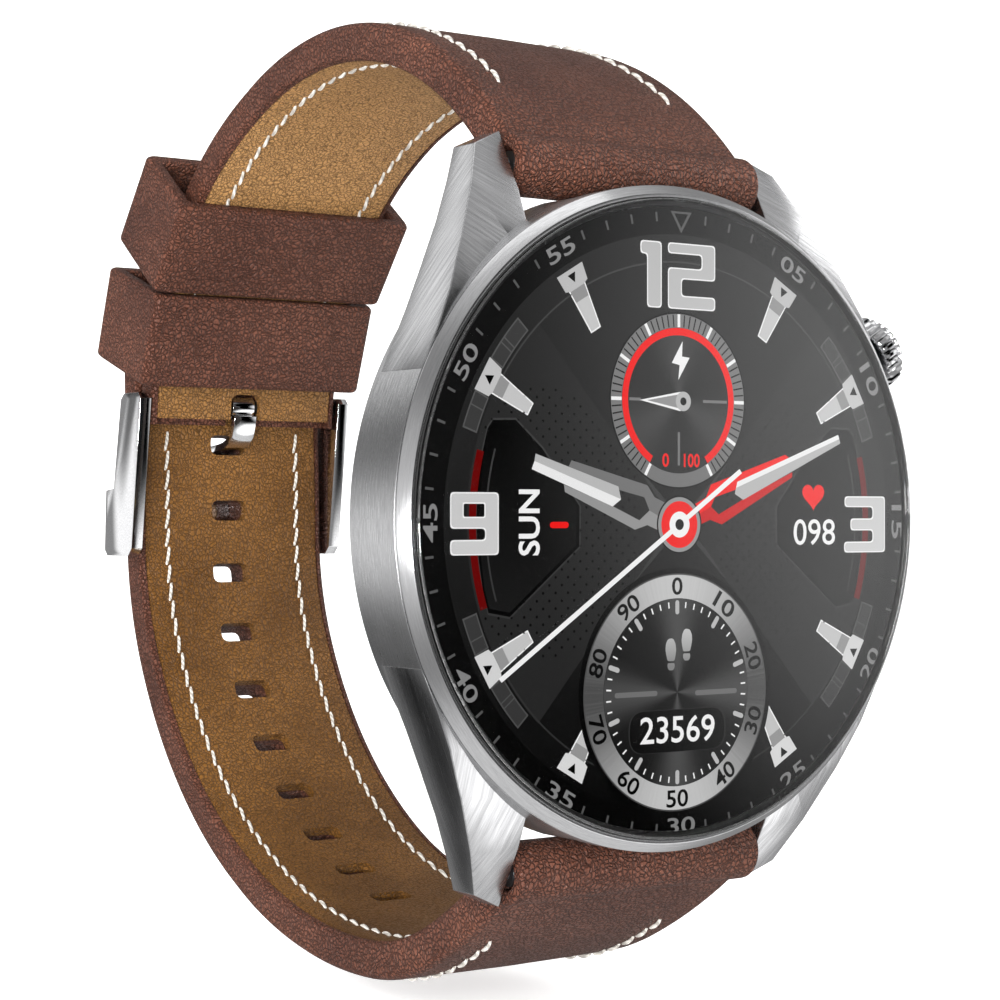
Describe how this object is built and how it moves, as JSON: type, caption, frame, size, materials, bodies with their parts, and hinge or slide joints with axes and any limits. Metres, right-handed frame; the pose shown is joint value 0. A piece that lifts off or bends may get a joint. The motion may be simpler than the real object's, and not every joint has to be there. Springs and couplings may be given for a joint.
{
  "type": "smartwatch",
  "caption": "Round smartwatch with lit dial under flat glass, brushed steel case with lugs, turning crown, side button and a closed stitched leather strap with buckle and keepers.",
  "frame": {"origin": "centre of the flat sensor crystal on the back of the case, the face that rests on the wrist", "axes": "+X towards 3 o'clock, +Z towards 12 o'clock, +Y from the dial through the case to the wrist, so the dial faces -Y"},
  "size_m": [0.0468, 0.069, 0.0727],
  "materials": {
    "brushed_steel": "stainless steel, brushed along the wall and slantwise on the lugs",
    "polished_steel": "stainless steel, mirror polished",
    "spring_steel": "plain spring steel",
    "brown_leather": "grained brown leather, satin, with light thread",
    "tan_leather": "smooth tan lining leather, satin",
    "black_plastic": "moulded black plastic, satin",
    "back_plastic": "dark brown moulded plastic, semi-gloss",
    "black_rubber": "black silicone rubber",
    "cover_glass": "clear polished glass",
    "crystal_glass": "dark clear crystal, polished",
    "display_black": "lit display face, smooth",
    "board_green": "green printed circuit board",
    "cell_foil": "foil-wrapped battery cell",
    "gold_contact": "gold-plated contact"
  },
  "bodies": {
    "case": {"mid_case": "brushed_steel", "bezel_ring": "polished_steel", "cover_glass": "cover_glass", "glass_gasket": "black_rubber", "display_panel": "display_black", "display_frame": "black_plastic", "display_flex": "gold_contact", "main_board": "board_green", "shield_can": "spring_steel", "battery": "cell_foil", "speaker": "black_plastic", "vibration_motor": "spring_steel", "sensor_board": "board_green", "sensor_shield": "black_plastic", "back_cover": "back_plastic", "sensor_crystal": "crystal_glass", "back_seal": "black_rubber", "back_screw_1": "spring_steel", "back_screw_2": "spring_steel", "back_screw_3": "spring_steel", "back_screw_4": "spring_steel", "charge_pin_1": "gold_contact", "charge_pin_2": "gold_contact", "crown_tube": "spring_steel", "crown_spring": "spring_steel", "crown_switch": "black_plastic", "button_spring": "spring_steel", "button_switch": "black_plastic", "lower_bar_tube": "spring_steel", "lower_bar_fixed_pin": "spring_steel", "lower_bar_spring": "spring_steel"},
    "crown_push": {"crown_pusher": "black_plastic"},
    "crown": {"crown_knob": "polished_steel", "crown_stem": "spring_steel", "crown_seal": "black_rubber"},
    "button": {"side_button": "brushed_steel", "button_seal": "black_rubber", "button_clip": "spring_steel"},
    "upper_strap": {"upper_leather_front": "brown_leather", "upper_lining_front": "tan_leather", "upper_bar_tube": "spring_steel", "upper_bar_fixed_pin": "spring_steel", "upper_bar_spring": "spring_steel"},
    "strap_rear": {"upper_leather_rear": "brown_leather", "upper_lining_rear": "tan_leather", "fixed_keeper": "brown_leather", "lower_leather_rear": "brown_leather", "lower_lining_rear": "tan_leather"},
    "lower_strap": {"lower_leather_front": "brown_leather", "lower_lining_front": "tan_leather"},
    "upper_bar_release": {"upper_bar_sliding_pin": "polished_steel"},
    "lower_bar_release": {"lower_bar_sliding_pin": "polished_steel"},
    "free_keeper": {"free_keeper": "brown_leather"},
    "buckle": {"buckle_frame": "polished_steel", "buckle_bar": "spring_steel"},
    "tongue": {"buckle_tongue": "polished_steel"}
  },
  "joints": [
    {"name": "crown_press", "type": "slide", "parent": "case", "child": "crown_push", "axis": [-0.866, 0, -0.5], "range_m": [0, 0.0006], "stiffness_N_per_m": 1500, "springref_m": -0.0004},
    {"name": "crown_spin", "type": "hinge", "parent": "crown_push", "child": "crown", "pos_m": [0, -0.0064, 0], "axis": [0.866, 0, 0.5], "continuous": true},
    {"name": "button_press", "type": "slide", "parent": "case", "child": "button", "axis": [-0.866, 0, 0.5], "range_m": [0, 0.00035], "stiffness_N_per_m": 2500, "springref_m": -0.0003},
    {"name": "upper_strap_flex", "type": "hinge", "parent": "case", "child": "upper_strap", "pos_m": [0, -0.0039, 0.0244], "axis": [1, 0, 0], "range_deg": [-8, 8], "stiffness_Nm_per_rad": 0.6},
    {"name": "rear_strap_flex", "type": "hinge", "parent": "upper_strap", "child": "strap_rear", "pos_m": [0, 0.02628, 0.03604], "axis": [1, 0, 0], "range_deg": [-6, 6]},
    {"name": "lower_strap_flex", "type": "hinge", "parent": "strap_rear", "child": "lower_strap", "pos_m": [0, 0.0293, -0.0316], "axis": [1, 0, 0], "range_deg": [-6, 6]},
    {"name": "upper_bar_slide", "type": "slide", "parent": "upper_strap", "child": "upper_bar_release", "axis": [-1, 0, 0], "range_m": [0, 0.0016], "stiffness_N_per_m": 800, "springref_m": -0.0008},
    {"name": "lower_bar_slide", "type": "slide", "parent": "case", "child": "lower_bar_release", "axis": [-1, 0, 0], "range_m": [0, 0.0016], "stiffness_N_per_m": 800, "springref_m": -0.0008},
    {"name": "free_keeper_slide", "type": "hinge", "parent": "strap_rear", "child": "free_keeper", "pos_m": [0, 0.02303, 0.00644], "axis": [1, 0, 0], "range_deg": [0, 24]},
    {"name": "buckle_pivot", "type": "hinge", "parent": "strap_rear", "child": "buckle", "pos_m": [0, 0.05218, 0.00993], "axis": [1, 0, 0], "range_deg": [0, 3]},
    {"name": "tongue_pivot", "type": "hinge", "parent": "buckle", "child": "tongue", "pos_m": [0, 0.05218, 0.00993], "axis": [1, 0, 0], "range_deg": [0, 6]}
  ],
  "couplings": [
    {"joint": "rear_strap_flex", "follows": "upper_strap_flex", "ratio": -0.7287},
    {"joint": "lower_strap_flex", "follows": "upper_strap_flex", "ratio": 0.6621}
  ]
}
